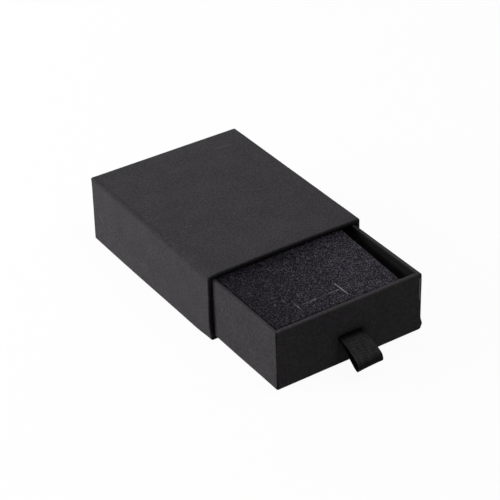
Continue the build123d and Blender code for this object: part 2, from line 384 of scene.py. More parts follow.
def vector_math(tree, operation, first, second, output="Vector"):
    """A sum, product or distance of two vectors; a scale's second one is a number."""
    place = "Scale" if operation == "SCALE" else 1
    made = add(tree, "ShaderNodeVectorMath", {0: first, place: second}, operation=operation)
    return made.outputs[output]


def product(tree, first, second):
    """Two values multiplied."""
    return add(tree, "ShaderNodeMath", {0: first, 1: second}, operation="MULTIPLY").outputs[0]


def cloud(tree, place, size, detail=3.0, roughness=0.6, stretch=None):
    """Noise with spots of about one size in mm."""
    if stretch is not None:
        place = vector_math(tree, "MULTIPLY", place, stretch)
    values = {"Vector": place, "Scale": 1 / size, "Detail": detail, "Roughness": roughness}
    return add(tree, "ShaderNodeTexNoise", values).outputs["Fac"]


def between(tree, value, low, high, to_low=0.0, to_high=1.0):
    """A value stretched from one range to another and held inside it."""
    values = {"Value": value, "From Min": low, "From Max": high, "To Min": to_low, "To Max": to_high}
    return add(tree, "ShaderNodeMapRange", values, clamp=True).outputs[0]


def blend_colour(tree, factor, first, second):
    """A mix of two colours."""
    made = add(tree, "ShaderNodeMix", {0: factor}, data_type="RGBA")
    for socket, value in zip((made.inputs[6], made.inputs[7]), (first, second)):
        if isinstance(value, bpy.types.NodeSocket):
            tree.links.new(value, socket)
        else:
            socket.default_value = value
    return made.outputs[2]


def shade(colour, factor=1.0):
    """A colour made lighter or darker, with full alpha."""
    return tuple(min(1.0, c * factor) for c in colour) + (1.0,)


def marked(tree, kind):
    """How far a piece's own points are marked with one kind of mark, from 0 to 1."""
    marks = add(tree, "ShaderNodeAttribute", attribute_name="wear").outputs["Fac"]
    return between(tree, marks, *MARK_KINDS[kind])


def surface(tree, main, tone, height, depth):
    """Gives the shader its colour and its fine relief, of a depth in mm."""
    relief = add(tree, "ShaderNodeBump", {"Height": height, "Distance": depth * MM, "Strength": 1.0})
    tree.links.new(tone, main.inputs["Base Color"])
    tree.links.new(relief.outputs[0], main.inputs["Normal"])


def scuff(tree, place, tone, mark, colour):
    """A pale scuff along a line between two points in mm, broken up by the paper's grain."""
    start, end, width, strength = mark
    run = Vector(end) - Vector(start)
    away = vector_math(tree, "SUBTRACT", place, start)
    along = vector_math(tree, "DOT_PRODUCT", away, run.normalized(), "Value")
    held = between(tree, along, 0.0, run.length, 0.0, run.length)
    near = vector_math(tree, "SCALE", run.normalized(), held)
    gap = vector_math(tree, "DISTANCE", away, near, "Value")
    line = between(tree, gap, width / 2, width, strength, 0.0)
    broken = between(tree, cloud(tree, place, 0.9), 0.4, 0.6, 0.3, 1.0)
    return blend_colour(tree, product(tree, line, broken), tone, colour)


# (start, end, width, strength) in mm from the middle of the sleeve's underside
SCUFFS = (((18.5, 34.4, 29.5), (26.3, 33.7, 29.5), 0.45, 0.55),
          ((-23.6, -10.6, 29.5), (-20.9, -11.1, 29.5), 0.45, 0.5),
          ((-35.2, 39.4, 14.4), (-35.2, 36.6, 12.0), 0.9, 0.4))
PAPER_CORE = (0.34, 0.31, 0.31, 1.0)
TORN_FOAM = (0.42, 0.41, 0.44, 1.0)


def covering_paper(name, colour, grain, scuffs=()):
    """Black covering paper: felt grain, slow mottling, pale fibres, scuffs and rubbed folds, with
    painted shade and painted light where its points are marked.
    """
    material, tree, main, place = shader(name, roughness=0.8, specular=0.08, sheen=0.02)
    felt = cloud(tree, place, grain, detail=4.0, roughness=0.7)
    mottle = cloud(tree, place, 9.0, roughness=0.55)
    fibre = cloud(tree, place, 0.32, detail=2.0, roughness=0.5, stretch=(1.0, 0.35, 1.0))
    felt_share = between(tree, felt, 0.38, 0.62)
    base = blend_colour(tree, felt_share, shade(colour, 0.72), shade(colour, 1.28))
    tone = vector_math(tree, "SCALE", base, between(tree, mottle, 0.3, 0.7, 0.90, 1.10))
    tone = blend_colour(tree, between(tree, fibre, 0.74, 0.80, 0.0, 0.5), tone, shade(colour, 2.2))
    uneven = between(tree, cloud(tree, place, 1.6, 4.0, 0.7), 0.35, 0.7, 0.1, 0.55)
    # pale where rubbed, and painted light on the tray's shaded inner wall
    rubbed_and_painted_light = product(tree, marked(tree, "worn_and_painted_light"), uneven)
    tone = blend_colour(tree, rubbed_and_painted_light, tone, shade(colour, 1.7))
    for mark in scuffs:
        tone = scuff(tree, place, tone, mark, shade(colour, 2.6))
    tone = blend_colour(tree, marked(tree, "bare"), tone, PAPER_CORE)
    # painted shade: the paper darkens where its points are marked as shaded
    tone = blend_colour(tree, marked(tree, "painted_shade"), tone, shade(colour, 0.08))
    surface(tree, main, tone, felt, 0.05)
    return material


def plain_stock(name, colour, grain, relief, roughness=0.9):
    """Greyboard, tape or lining: a pressed pulp with small light and dark fibres."""
    material, tree, main, place = shader(name, roughness, specular=0.2, sheen=0.0)
    pulp = cloud(tree, place, grain, detail=5.0, roughness=0.65)
    fibre = cloud(tree, place, grain * 1.5, stretch=(1.0, 0.3, 1.0))
    base = blend_colour(tree, between(tree, pulp, 0.3, 0.7), shade(colour, 0.8), shade(colour, 1.2))
    tone = blend_colour(tree, between(tree, fibre, 0.6, 0.75, 0, 0.5), base, shade(colour, 1.5))
    surface(tree, main, tone, pulp, relief)
    return material


def foam_material(settings):
    """Open-cell foam: dark cells with bright ones among them, torn pale foam at the cuts, and painted
    shade in the pores, towards the left and in the gap at its left side.
    """
    material, tree, main, place = shader("foam", roughness=0.95, specular=0.06, sheen=0.0)
    cells = add(tree, "ShaderNodeTexVoronoi", {"Vector": place, "Scale": MM / settings.cell})
    pore = cells.outputs["Distance"]
    chance = vector_math(tree, "DOT_PRODUCT", cells.outputs["Color"], (1, 0, 0), "Value")
    # flecks dim at a cell's middle and bright at its rim: painted shade in the pores
    edge = between(tree, pore, 0.0, 0.6, 0.6, 1.15)
    flecks = product(tree, between(tree, chance, 0.66, 0.92), edge)
    tone = blend_colour(tree, flecks, shade(settings.colour), shade(settings.fleck_colour))
    # slow unevenness, and painted shade: darker towards the left, where the tray's left wall shades the
    # foam
    across = vector_math(tree, "DOT_PRODUCT", place, (1, 0, 0), "Value")
    for slow in (between(tree, cloud(tree, place, 7.0), 0.3, 0.7, 0.9, 1.1),
                 between(tree, across, PAD_LOW[0], 12.0, 0.56, 1.10)):
        tone = vector_math(tree, "SCALE", tone, slow)
    broken = between(tree, chance, 0.0, 0.5, 0.6, 1.0)
    tone = blend_colour(tree, product(tree, marked(tree, "worn_and_painted_light"), broken), tone, TORN_FOAM)
    # painted shade where the points are marked as shaded
    tone = blend_colour(tree, marked(tree, "painted_shade"), tone, shade(settings.colour, 0.1))
    surface(tree, main, tone, pore, 0.10)
    return material


def ribbon_material(settings):
    """Woven ribbon: slanting twill ribs, fine threads, and slow streaks of painted sheen along it."""
    material, tree, main, _ = shader("ribbon", 0.6, specular=0.04, sheen=0.02, sheen_roughness=0.35)
    lay = add(tree, "ShaderNodeAttribute", attribute_name="lay").outputs["Vector"]
    slant = {"Vector": lay, "Angle": math.radians(52)}
    turned = add(tree, "ShaderNodeVectorRotate", slant, rotation_type="Z_AXIS").outputs[0]
    # a wave texture of scale 1 has its bands pi / 10 apart
    wave_scale = math.pi / 10 / (settings.twill / MM)
    ribs = add(tree, "ShaderNodeTexWave", {"Vector": turned, "Scale": wave_scale, "Distortion": 2.2,
                                           "Detail": 2.0, "Detail Scale": 2.0}).outputs["Fac"]
    weave = product(tree, ribs, cloud(tree, lay, 0.34, stretch=(1.0, 0.3, 1.0)))
    tone = blend_colour(tree, between(tree, weave, 0.06, 0.50), shade(settings.colour, 0.6),
                        shade(settings.thread_colour))
    # painted sheen: lighter and darker streaks along the ribbon
    sheen_streak = cloud(tree, lay, 1.4, stretch=(1.0, 0.2, 1.0))
    tone = vector_math(tree, "SCALE", tone, between(tree, sheen_streak, 0.40, 0.64, 0.80, 1.25))
    # painted shade where the points are marked as shaded
    tone = blend_colour(tree, marked(tree, "painted_shade"), tone, shade(settings.colour, 0.15))
    surface(tree, main, tone, weave, 0.045)
    return material


MATERIALS = {}


def finishes():
    """Makes every material once and gives it by its slot's name."""
    if not MATERIALS:
        scene = bpy.context.scene
        paper, grain = scene.box_paper, scene.box_paper.grain / MM
        MATERIALS.update({
            "covering_paper": covering_paper("covering_paper", paper.sleeve_colour, grain, SCUFFS),
            "tray_covering_paper": covering_paper("tray_covering_paper", paper.tray_colour, grain),
            "lining_paper": plain_stock("lining_paper", paper.lining_colour, grain, 0.02, 0.8),
            "greyboard": plain_stock("greyboard", (0.30, 0.29, 0.27), 0.6, 0.04),
            "tape": plain_stock("tape", (0.42, 0.31, 0.19), 0.5, 0.03),
            "foam": foam_material(scene.box_pad),
            "ribbon": ribbon_material(scene.box_ribbon),
        })
    return MATERIALS


# ---- the sleeve

BOW_REACH = 26        # how far back from the mouth the top bows and the side bulges
TUCK_REACH = 11       # how far back from the mouth its lower left corner is pushed in
SPLAY_REACH = 70      # how far back from the mouth the left side's foot stands out fully
BULGE_HEIGHT = 10.5   # where the left side bulges most
SPLAY_HEIGHT = 24     # where the splay of the foot has faded out
TOP_FROM = 20         # height from which the wall follows the top's bow
MOUTH_MARKS = (0.2, 0.5, 0.6, 0.3, -0.2, -0.6)   # rubbed wear round the fold at the mouth, then painted shade as it turns in
EDGE_MARKS = (-0.58, -0.62, -0.7, -0.85)         # then painted shade across the wall's edge
MOUTH_SHADE = -0.95                             # and painted shade on the paper turned in


def sleeve_bend(points):
    """How the sleeve's board has bent in use, as a shift in mm at each point."""
    use = bpy.context.scene.box_sleeve
    x, y, z = points.T
    half = SLEEVE_HIGH[0]
    behind = y - SLEEVE_LOW[1]
    # how far a point belongs to the mouth, to the top and to the left side, each from 0 to 1
    mouth = smooth(1 - behind / BOW_REACH)
    top = smooth((z - TOP_FROM) / 7)
    left = smooth((-x - half + 5) / 4)
    shift = np.zeros_like(points)
    shift[:, 2] += use.top_bow / MM * mouth * top * (1 - (x / half) ** 2)
    shift[:, 0] -= use.side_bulge / MM * left * mouth * hump(z - BULGE_HEIGHT, 6)
    shift[:, 0] += use.corner_tuck / MM * left * smooth(1 - behind / TUCK_REACH) * smooth(1 - z / 6)
    from_fold = np.hypot(x + half, z - SLEEVE_HIGH[2])
    rounded = use.fold_wear / MM * hump(from_fold, 1.6) * smooth((-5 - y) / 25)
    shift[:, 0] += rounded
    shift[:, 2] -= rounded
    splay = smooth(behind / SPLAY_REACH) * np.clip(1 - z / SPLAY_HEIGHT, 0, 1)
    shift[:, 0] -= use.back_splay / MM * left * splay
    return shift


def sleeve_relief(points):
    """Small unevenness of the pasted paper: slow ripples and a burr along the left fold."""
    x, y, z = points.T
    centre = np.array([0, 0, (SLEEVE_LOW[2] + SLEEVE_HIGH[2]) / 2])
    out = points - centre
    share = np.abs(out) / ((SLEEVE_HIGH - SLEEVE_LOW) / 2)
    outer = share.max(axis=1) > 0.93     # only points near an outer side move
    rows, axis = np.arange(len(points)), share.argmax(axis=1)
    facing = np.zeros_like(points)
    facing[rows, axis] = np.sign(out[rows, axis]) * outer
    height = 0.05 * ripple(points, 14.0, 1) + 0.025 * ripple(points, 4.5, 2)
    burr = 0.16 * hump(x - SLEEVE_LOW[0], 1.3) * smooth((y + 20) / 40) * (z > SLEEVE_HIGH[2] - 1)
    height = height + burr * (0.7 + 0.5 * ripple(points, 6.0, 3))
    return facing * height[:, None]


def sleeve_ring(y, inset, radius):
    """One section of the sleeve's covering, with its corner marks."""
    low = (SLEEVE_LOW[0] + inset, SLEEVE_LOW[2] + inset)
    high = (SLEEVE_HIGH[0] - inset, SLEEVE_HIGH[2] - inset)
    tightest = 0.2
    section, marks = rounded_section(low, high, max(radius - inset, tightest), (44, 22))
    return np.array([(a, y, b) for a, b in section]), marks


def sleeve_stations(edge):
    """(y, inset, mark) from the fold on the back, along the sleeve, and in at the mouth; the mark is
    wear on the folds and painted shade at the mouth.
    """
    use = bpy.context.scene.box_sleeve
    lip, wall = use.mouth_radius / MM, use.mouth_wall / MM
    turn_in, fold = use.turn_in / MM, use.back_fold / MM
    mouth, back = SLEEVE_LOW[1], SLEEVE_HIGH[1]
    back_edge = edge * 0.9
    inner = lip * 0.5
    stations = [(back, inset, 0.0) for inset in np.linspace(fold, back_edge, 8)]
    stations += [(back - back_edge + b, back_edge - a, 1.0)
                 for a, b in arc((0, 0), back_edge, 90, 0, 6)[1:]]
    stations += [(y, 0.0, 0.0) for y in graded(back - back_edge, mouth + lip, 72)]
    stations += [(mouth + lip - b, lip - a, mark)
                 for (a, b), mark in zip(arc((0, 0), lip, 0, 90, 5), MOUTH_MARKS)]
    stations += [(mouth, inset, mark)
                 for inset, mark in zip(np.linspace(lip, wall - inner, 5)[1:], EDGE_MARKS)]
    stations += [(mouth + inner - b, wall - inner + a, MOUTH_SHADE)
                 for a, b in arc((0, 0), inner, 90, 0, 4)[1:]]
    stations += [(y, wall, MOUTH_SHADE) for y in np.linspace(mouth + inner, mouth + turn_in, 10)[1:]]
    return stations


def sleeve_marks(ring, marks, mark, edge):
    """Marks of one section: wear on its folds, and painted shade on both sides of the left fold and at
    the mouth's foot.
    """
    y, top = ring[0, 1], SLEEVE_HIGH[2]
    left, mouth = SLEEVE_LOW[:2]
    marks = 0.5 * np.maximum(marks, mark) if mark >= 0 else np.full(len(marks), mark)
    # painted shade: a dark line on the top beside the left fold, where its burr shades the top,
    # stronger towards the back
    beside = hump(ring[:, 0] - left - 1.1, 0.7) * (ring[:, 2] > top - 0.4)
    beside *= 0.8 + 0.6 * ripple(ring, 3.0, 15)
    marks = marks - 0.36 * beside * smooth((y + 30) / 45)
    # the fold rolls over onto the left side, further towards the mouth, and painted shade darkens the
    # roll
    from_back = (SLEEVE_HIGH[1] - y) / (SLEEVE_HIGH[1] - mouth)
    reach, below = 1.3 + 1.4 * from_back, top - ring[:, 2]
    roll = smooth((reach - below) / (0.7 * reach)) * (ring[:, 0] < left + edge)
    marks = np.where((roll > 0.05) & (marks > -0.2), -0.28 * roll, marks)
    # painted shade on the mouth's edge at its foot
    foot = smooth((2.4 - ring[:, 2]) / 1.2) * (y < mouth + 0.2)
    return np.minimum(marks, np.where(foot > 0, MOUTH_SHADE * foot, 1.0))


def make_sleeve_cover():
    """The sleeve's covering sheet, with its folds, its rubbed edges, and painted shade at the mouth and
    along the left fold.
    """
    scene = bpy.context.scene
    edge = scene.box_sleeve.edge_radius / MM
    rings, row_marks = [], []
    for y, inset, mark in sleeve_stations(edge):
        ring, marks = sleeve_ring(y, inset, edge)
        rings.append(ring)
        row_marks.append(sleeve_marks(ring, marks, mark, edge))
    work = Work()
    work.skin(work.add(np.array(rings), np.array(row_marks)), closed=True)
    work.move(sleeve_relief)
    work.thicken(scene.box_paper.thickness / MM)
    work.move(sleeve_bend)
    return work.piece("sleeve_cover", finishes()["covering_paper"], "sleeve",
                      ["sleeve_wrap"])


def make_board(node, counts):
    """A board of the sleeve, bent as the sleeve is."""
    low, high = box_mm(node)
    edge = 0.45
    rings = []
    for y in np.concatenate([[low[1]], graded(low[1], high[1], 40), [high[1]]]):
        section, _ = rounded_section((low[0], low[2]), (high[0], high[2]), edge, counts, 3)
        rings.append([(a, y, b) for a, b in section])
    work = Work()
    index = work.add(np.array(rings)[::-1])
    work.skin(index, closed=True)
    work.faces.append(tuple(reversed(index[0])))
    work.faces.append(tuple(index[-1]))
    work.move(sleeve_bend)
    return work.piece(node + "_bent", finishes()["greyboard"], "sleeve", [node])


def make_sleeve_tapes():
    """Tapes over the four long board corners of the sleeve."""
    low, high = box_mm("sleeve_corner_tapes")
    leg, radius, thickness = 7.0, 0.7, 0.1
    corners = (((low[0], low[2]), 180), ((high[0], low[2]), 270),
               ((high[0], high[2]), 0), ((low[0], high[2]), 90))
    run = np.linspace(high[1], low[1], 40)
    work = Work()
    for (a, b), start in corners:
        centre = (a + math.copysign(radius, -a), b + (radius if b == low[2] else -radius))
        bend = np.array(arc(centre, radius, start, start + 90, 5))
        legs = []
        for end, beside in ((bend[0], bend[1]), (bend[-1], bend[-2])):
            way = np.round((end - beside) / np.linalg.norm(end - beside))
            legs.append([end + way * t for t in (2, 4, leg - radius)])
        path = [*reversed(legs[0]), *bend, *legs[1]]
        work.skin(work.add(np.array([[(p[0], y, p[1]) for p in path] for y in run])))
    work.thicken(thickness)
    work.move(sleeve_bend)
    return work.piece("sleeve_tapes", finishes()["tape"], "sleeve", ["sleeve_corner_tapes"])


# ---- the tray

WINDOW = (9.0, 3.2)                              # half of the opening that the slit's rings fill
RIM_MARKS = (0.0, -0.15, -0.5, -0.8, -0.92)      # painted shade round the rim's inner fold
# the slit's rings: (distance outside its edge, depth into the front, painted shade that darkens into
# the slit)
SLIT_RINGS = ((2.0, 0.02, -0.26), (1.2, 0.05, -0.42), (0.75, 0.10, -0.72), (0.4, 0.17, -0.92),
              (0.18, 0.27, -0.95), (0.05, 0.42, -1), (0.0, 0.62, -1), (0.0, 1.1, -1), (0.0, 1.72, -1))


def tray_ring(z, inset, radius):
    """One level section of the tray's covering, with its corner marks."""
    paper = bpy.context.scene.box_paper.thickness / MM
    low = (TRAY_LOW[0] + inset, TRAY_LOW[1] + paper + inset)
    high = (TRAY_HIGH[0] - inset, TRAY_HIGH[1] - paper - inset)
    tightest = 0.12
    section, marks = rounded_section(low, high, max(radius - inset, tightest), (36, 40))
    return np.array([(a, b, z) for a, b in section]), marks


def rim_path(out, floor_start):
    """(height, inset, mark) from the base, up the wall, over the rim and down inside; the mark is wear
    on the outer folds, painted shade round the inner fold and just inside, and painted light further
    down inside.
    """
    use = bpy.context.scene.box_tray
    edge, rim, wall = use.edge_radius / MM * 0.9, use.rim_radius / MM, use.wall / MM
    base, top = TRAY_LOW[2], TRAY_HIGH[2] + out
    inner = rim * 0.7
    path = [(base, inset, 0.0) for inset in floor_start]
    path += [(base + edge - b, edge - a - out, 0.3) for a, b in arc((0, 0), edge, 90, 0, 5)]
    path += [(z, -out, 0.0) for z in graded(base + edge, top - rim, 22)]
    path += [(top - rim + b, rim - a - out, 0.35) for a, b in arc((0, 0), rim, 0, 90, 5)]
    path += [(top, inset, 0.15) for inset in np.linspace(rim, wall - inner, 4)[1:-1]]
    path += [(top - inner + b, wall + out - inner + a, mark)
             for (a, b), mark in zip(arc((0, 0), inner, 90, 0, 4), RIM_MARKS)]
    # inside, painted shade darkens the paper just under the rim, and painted light makes it paler
    # further down
    floor = TRAY_HIGH[2] - use.turn_in / MM
    path += [(z, wall + out, -0.94 + 1.34 * smooth((top - z - 1.6) / 3.2))
             for z in np.linspace(top - inner, floor, 14)[1:]]
    return path


def slit_place():
    """Half of the slit's width and height, and the height of its middle."""
    use = bpy.context.scene.box_tray
    return use.slit_width / MM / 2, use.slit_height / MM / 2, TRAY_LOW[2] + use.slit_above / MM


def make_tray_cover():
    """The tray's covering: base, walls and rim, with the front and back flaps over it."""
    scene = bpy.context.scene
    edge = scene.box_tray.edge_radius / MM
    half_slit, rise, slit_z = slit_place()
    rings, row_marks = [], []
    for z, inset, mark in rim_path(0.0, (30.0, 14.0, 4.0)):
        ring, marks = tray_ring(z, inset, edge)
        rings.append(ring)
        marks = np.maximum(marks * 0.15, mark) if mark >= 0 else np.full(len(marks), mark)
        row_marks.append(marks if inset > 0.5 else corner_marks(ring, marks))

    def under_slit(middle):
        clear = 1.0
        return (abs(middle[0]) < half_slit + clear and abs(middle[2] - slit_z) < rise + clear
                and middle[1] < TRAY_LOW[1] + 4)
    work = Work()
    index = work.add(np.array(rings), np.array(row_marks))
    work.skin(index, closed=True, skip=under_slit)
    work.faces.append(tuple(index[0]))
    add_flap(work, 1)
    add_flap(work, -1)
    work.move(tray_relief)
    work.thicken(scene.box_paper.thickness / MM)
    return work.piece("tray_cover", finishes()["tray_covering_paper"], "tray",
                      ["tray_wrap"])


def gap_shadow(z):
    """How dark the painted shadow in the gap beside the front flap's left edge is at a height."""
    from_rim, from_base = TRAY_HIGH[2] - z, z - TRAY_LOW[2]
    return np.clip(0.5 + 0.5 * smooth(1 - from_rim / 7) + 0.5 * smooth(1 - from_base / 11), 0, 1)


def corner_marks(ring, marks):
    """Painted shadow on the sheet under the front flap's left edge, and painted shade under its right
    edge where the ear curls out.
    """
    use = bpy.context.scene.box_tray
    x, y, z = ring.T
    reach = TRAY_HIGH[0] - np.abs(x)
    front = y < TRAY_LOW[1] + use.edge_radius / MM
    gap = use.flap_inset / MM + 0.1
    from_rim = TRAY_HIGH[2] - z
    left = front & (x < 0) & (reach > 0.1) & (reach < gap)
    right = front & (x > 0) & (reach < gap + use.flap_short / MM)
    marks = np.where(left, -gap_shadow(z), marks)
    return np.where(right, -0.85 * smooth((8 - from_rim) / 3), marks)


def flap_path(paper, slit_z):
    """The flap's (height, inset, mark), with even rows beside the slit."""
    path = rim_path(paper, ())
    face = [p for p in path if p[1] <= -paper + 1e-9]
    below, above = slit_z - WINDOW[1], slit_z + WINDOW[1]
    heights = [*graded(face[0][0], below, 8), *np.linspace(below, above, 13),
               *graded(above, face[-1][0], 12)]
    first, last = path.index(face[0]), path.index(face[-1])
    return path[:first + 1] + [(z, -paper, 0.0) for z in heights] + path[last:]


def front_marks(grid, row_marks):
    """Marks of the front flap: painted shade round the slit, a painted shadow along its left edge, and
    a bare right edge.
    """
    half_slit, rise, slit_z = slit_place()
    outside = grid[:, :, 1] < TRAY_LOW[1] + 0.3
    beyond = np.maximum(np.abs(grid[:, :, 0]) - half_slit + rise, 0)
    from_slit = np.hypot(beyond, grid[:, :, 2] - slit_z) - rise
    # painted shade: a soft dark halo round the slit, standing in for the ribbon's shadow too
    row_marks -= 0.2 * hump(from_slit, 4.0) * outside
    # painted shadow in the gap beside the flap's left edge
    row_marks[:, 0] = np.where(outside[:, 0], -gap_shadow(grid[:, 0, 2]), row_marks[:, 0])
    from_rim = TRAY_HIGH[2] - grid[:, -2:, 2]
    bare = 1.9 * smooth((from_rim - 0.8) / 0.8) * smooth((13 - from_rim) / 3)
    row_marks[:, -2:] = np.where(outside[:, -2:] & (bare > 1), bare, row_marks[:, -2:])
    return row_marks


def add_flap(work, way):
    """The front (1) or back (-1) flap: up the wall, over the rim and down inside."""
    scene = bpy.context.scene
    use, paper = scene.box_tray, scene.box_paper.thickness / MM
    half = TRAY_HIGH[0] - use.flap_inset / MM
    end = half - use.flap_short / MM
    slit_z = slit_place()[2]
    across = np.concatenate([[-half], graded(-half, -WINDOW[0], 16),
                             np.linspace(-WINDOW[0], WINDOW[0], 31), graded(WINDOW[0], end, 16), [end]])
    wall_y = TRAY_LOW[1] + paper if way > 0 else TRAY_HIGH[1] - paper
    rows, row_marks = [], []
    for z, inset, mark in flap_path(paper, slit_z):
        turned_in = inset > use.wall / MM / 2
        reach = TRAY_HIGH[0] - use.wall / MM - 0.15 if turned_in else half
        rows.append([(a, wall_y + way * inset, z) for a in across * reach / half * way])
        row_marks.append(np.full(len(across), mark))
    grid, row_marks = np.array(rows), np.array(row_marks)
    if way < 0:
        work.skin(work.add(grid, row_marks))
        return
    index = work.add(grid, front_marks(grid, row_marks))

    def in_window(point, margin=0.0):
        return (abs(point[0]) < WINDOW[0] + margin and abs(point[2] - slit_z) < WINDOW[1] + margin
                and point[1] < TRAY_LOW[1] + 1)
    work.skin(index, skip=in_window)
    inside = [place for place in np.ndindex(index.shape) if in_window(grid[place], 1e-6)]
    loop = border(sorted({i for i, _ in inside}), sorted({j for _, j in inside}))
    add_slit(work, [index[i, j] for i, j in loop])


def add_slit(work, loop):
    """The punched slit: rings from the flap's open window to the slit's pressed-in lip, with painted
    shade darkening into it.
    """
    half_slit, rise, slit_z = slit_place()
    outer = np.array([work.points[c] for c in loop])
    core = half_slit - rise
    nearest = np.clip(outer[:, 0], -core, core)
    away = np.stack([outer[:, 0] - nearest, outer[:, 2] - slit_z], axis=1)
    away /= np.linalg.norm(away, axis=1, keepdims=True)
    middle = np.stack([nearest, np.full(len(nearest), slit_z)], axis=1)
    numbers = [np.array(loop)]
    # each ring's mark paints the shade that falls into the slit
    for distance, depth, mark in SLIT_RINGS:
        edge = middle + away * (rise + distance)
        ring = np.stack([edge[:, 0], outer[:, 1], edge[:, 1]], axis=1)
        if distance == SLIT_RINGS[0][0]:
            ring = (ring + outer) / 2
        ring[:, 1] = outer[0, 1] + depth
        numbers.append(work.add(ring, mark))
    work.skin(np.array(numbers), closed=True)


def tray_relief(points):
    """Small unevenness of the tray's paper, its raised flap edges and a bump at a corner."""
    x, y, z = points.T
    low, high = TRAY_LOW, TRAY_HIGH
    shift = np.zeros_like(points)
    front = smooth((low[1] + 0.6 - y) / 0.4) * (z < high[2] - 0.6) * (z > low[2] + 0.5)
    side = smooth((np.abs(x) - high[0] + 0.4) / 0.3) * (z < high[2] - 0.6)
    shift[:, 1] -= front * (0.03 * ripple(points, 9.0, 4) + 0.015 * ripple(points, 3.0, 5))
    waves = 0.035 * ripple(points, 11.0, 6) + 0.015 * ripple(points, 4.0, 7)
    shift[:, 0] += np.sign(x) * side * waves
    # the flap's edges lift off the front
    edge = smooth((np.abs(x) - high[0] + 2.2) / 1.8) * front
    shift[:, 1] -= edge * np.maximum(0.10 * (0.5 + ripple(points, 5.5, 8)), 0)
    # the left side stands out, ever more over the first 30 mm behind the front
    shift[:, 0] -= 0.24 * side * (x < 0) * smooth((y - low[1] - 4) / 26)
    # the ear beside the right front corner curls out below the rim
    curl = side * (x > 0) * hump(y - low[1] - 1.5, 0.7)
    shift[:, 0] += 0.55 * curl * smooth((z - high[2] + 10) / 3) * smooth((high[2] - 0.6 - z) / 1.5)
    # that corner bulges out near its foot, where it is crushed
    crushed = hump(x - high[0], 0.9) * hump(y - low[1], 0.9) * hump(z - low[2] - 2.6, 1.5)
    shift[:, 0] += 0.75 * crushed
    shift[:, 1] -= 0.25 * crushed
    rim = smooth((z - high[2] + 0.8) / 0.5)
    shift[:, 2] += rim * (0.05 * ripple(points, 12.0, 9) + 0.02 * ripple(points, 3.0, 10))
    return shift


# ---- the foam pad

HOLDER_Y = 10.1                            # the main cut behind the tray's front
HOLDER_LEFT, HOLDER_RIGHT = -16.5, 2.9     # its ends
CROSS_LEFT, CROSS_RIGHT = 9.0, 8.9         # lengths of the cuts across its ends
PAD_RIGHT_FRONT = 24.1                     # where the askew right side starts, at the front
STRAIGHT = 10.0                            # the pad's grid is square to the tray up to here
PAD_EDGE = 0.45                            # radius of the pad's upper edges
# how torn the lips of each cut are, as (share of its length, brightness)
MAIN_CUT = ((0.0, 0.5), (0.04, 0.15), (0.12, 0.2), (0.28, 0.3), (0.33, 0.9), (0.41, 1.2),
            (0.45, 0.25), (0.55, 0.15), (0.70, 0.2), (0.74, 0.8), (0.80, 0.7), (0.83, 0.2),
            (0.90, 0.8), (0.94, 0.7), (1.0, 0.5))
LEFT_CUT = ((0.0, 0.12), (0.3, 0.22), (0.44, 0.75), (0.52, 0.4), (0.7, 0.2), (1.0, 0.12))
RIGHT_CUT = ((0.0, 0.8), (0.15, 1.0), (1.0, 1.0))
# specks of lint, as (x, y)
LINT = ((-9.0, -77.3), (-12.4, -71.2), (-11.3, -80.0), (6.6, -76.6), (7.2, -80.8), (-22.7, -71.4),
        (-18.6, -71.2))


def lines_with_cuts(low, high, cuts):
    """Grid lines from low to high, with close pairs of lines beside each cut."""
    step, clear = 0.5, 0.6
    beside = (-0.48, -0.3, -0.14, -0.04, 0, 0.04, 0.14, 0.3, 0.48)
    lines = [v for v in np.linspace(low, high, int((high - low) / step) + 1)
             if all(abs(v - c) > clear for c in cuts)]
    return np.array(sorted(lines + [c + b for c in cuts for b in beside]))


def pad_top():
    """The pad's flat top as a grid of points, its right side askew."""
    low, high = PAD_LOW, PAD_HIGH
    line_y = TRAY_LOW[1] + HOLDER_Y
    xs = lines_with_cuts(low[0] + PAD_EDGE, PAD_RIGHT_FRONT - PAD_EDGE, (HOLDER_LEFT, HOLDER_RIGHT))
    ys = lines_with_cuts(low[1] + PAD_EDGE, high[1] - PAD_EDGE, (line_y,))
    grid_x, grid_y = np.meshgrid(xs, ys)
    share = np.clip((grid_x - STRAIGHT) / (PAD_RIGHT_FRONT - PAD_EDGE - STRAIGHT), 0, 1)
    along = (grid_y - low[1]) / (high[1] - low[1])
    grid_x = grid_x + share * along * (high[0] - PAD_RIGHT_FRONT)
    return np.stack([grid_x, grid_y, np.full_like(grid_x, high[2])], axis=-1)


def cut_pad(top):
    """Sinks the cuts into the top, raises their torn lips, and gives the wear of its points."""
    use = bpy.context.scene.box_pad
    line_y = TRAY_LOW[1] + HOLDER_Y
    cuts = [((HOLDER_LEFT, line_y), (HOLDER_RIGHT, line_y), MAIN_CUT)]
    for x, size, torn in ((HOLDER_LEFT, CROSS_LEFT, LEFT_CUT), (HOLDER_RIGHT, CROSS_RIGHT, RIGHT_CUT)):
        cuts.append(((x, line_y - size / 2), (x, line_y + size / 2), torn))
    flat = top.reshape(-1, 3)
    wear = np.zeros(len(flat))
    for (ax, ay), (bx, by), torn in cuts:
        start, run = np.array([ax, ay]), np.array([bx - ax, by - ay])
        # the share t along the cut, and the gap from it
        t = np.clip(((flat[:, :2] - start) @ run) / (run @ run), 0, 1)
        gap = np.linalg.norm(flat[:, :2] - start - t[:, None] * run, axis=1)
        ends = smooth((0.5 - np.abs(t - 0.5)) * 20)
        edge = smooth(1.1 - gap / 0.24) * ends * np.interp(t, *np.array(torn).T)
        flat[:, 2] += use.lip / MM * edge * (gap > 0.05)
        flat[:, 2] -= np.where((gap < 0.02) & (ends > 0.02), use.cut_depth / MM, 0)
        wear = np.maximum(wear, edge)
    for spot in LINT:
        wear = np.maximum(wear, 0.35 * np.exp(-np.sum((flat[:, :2] - spot) ** 2, axis=1) / 0.10))
    flat[:, 2] += use.nap / MM * ripple(flat, 0.9, 12) + 0.10 * ripple(flat, 8.0, 13)
    return wear.reshape(top.shape[:2])


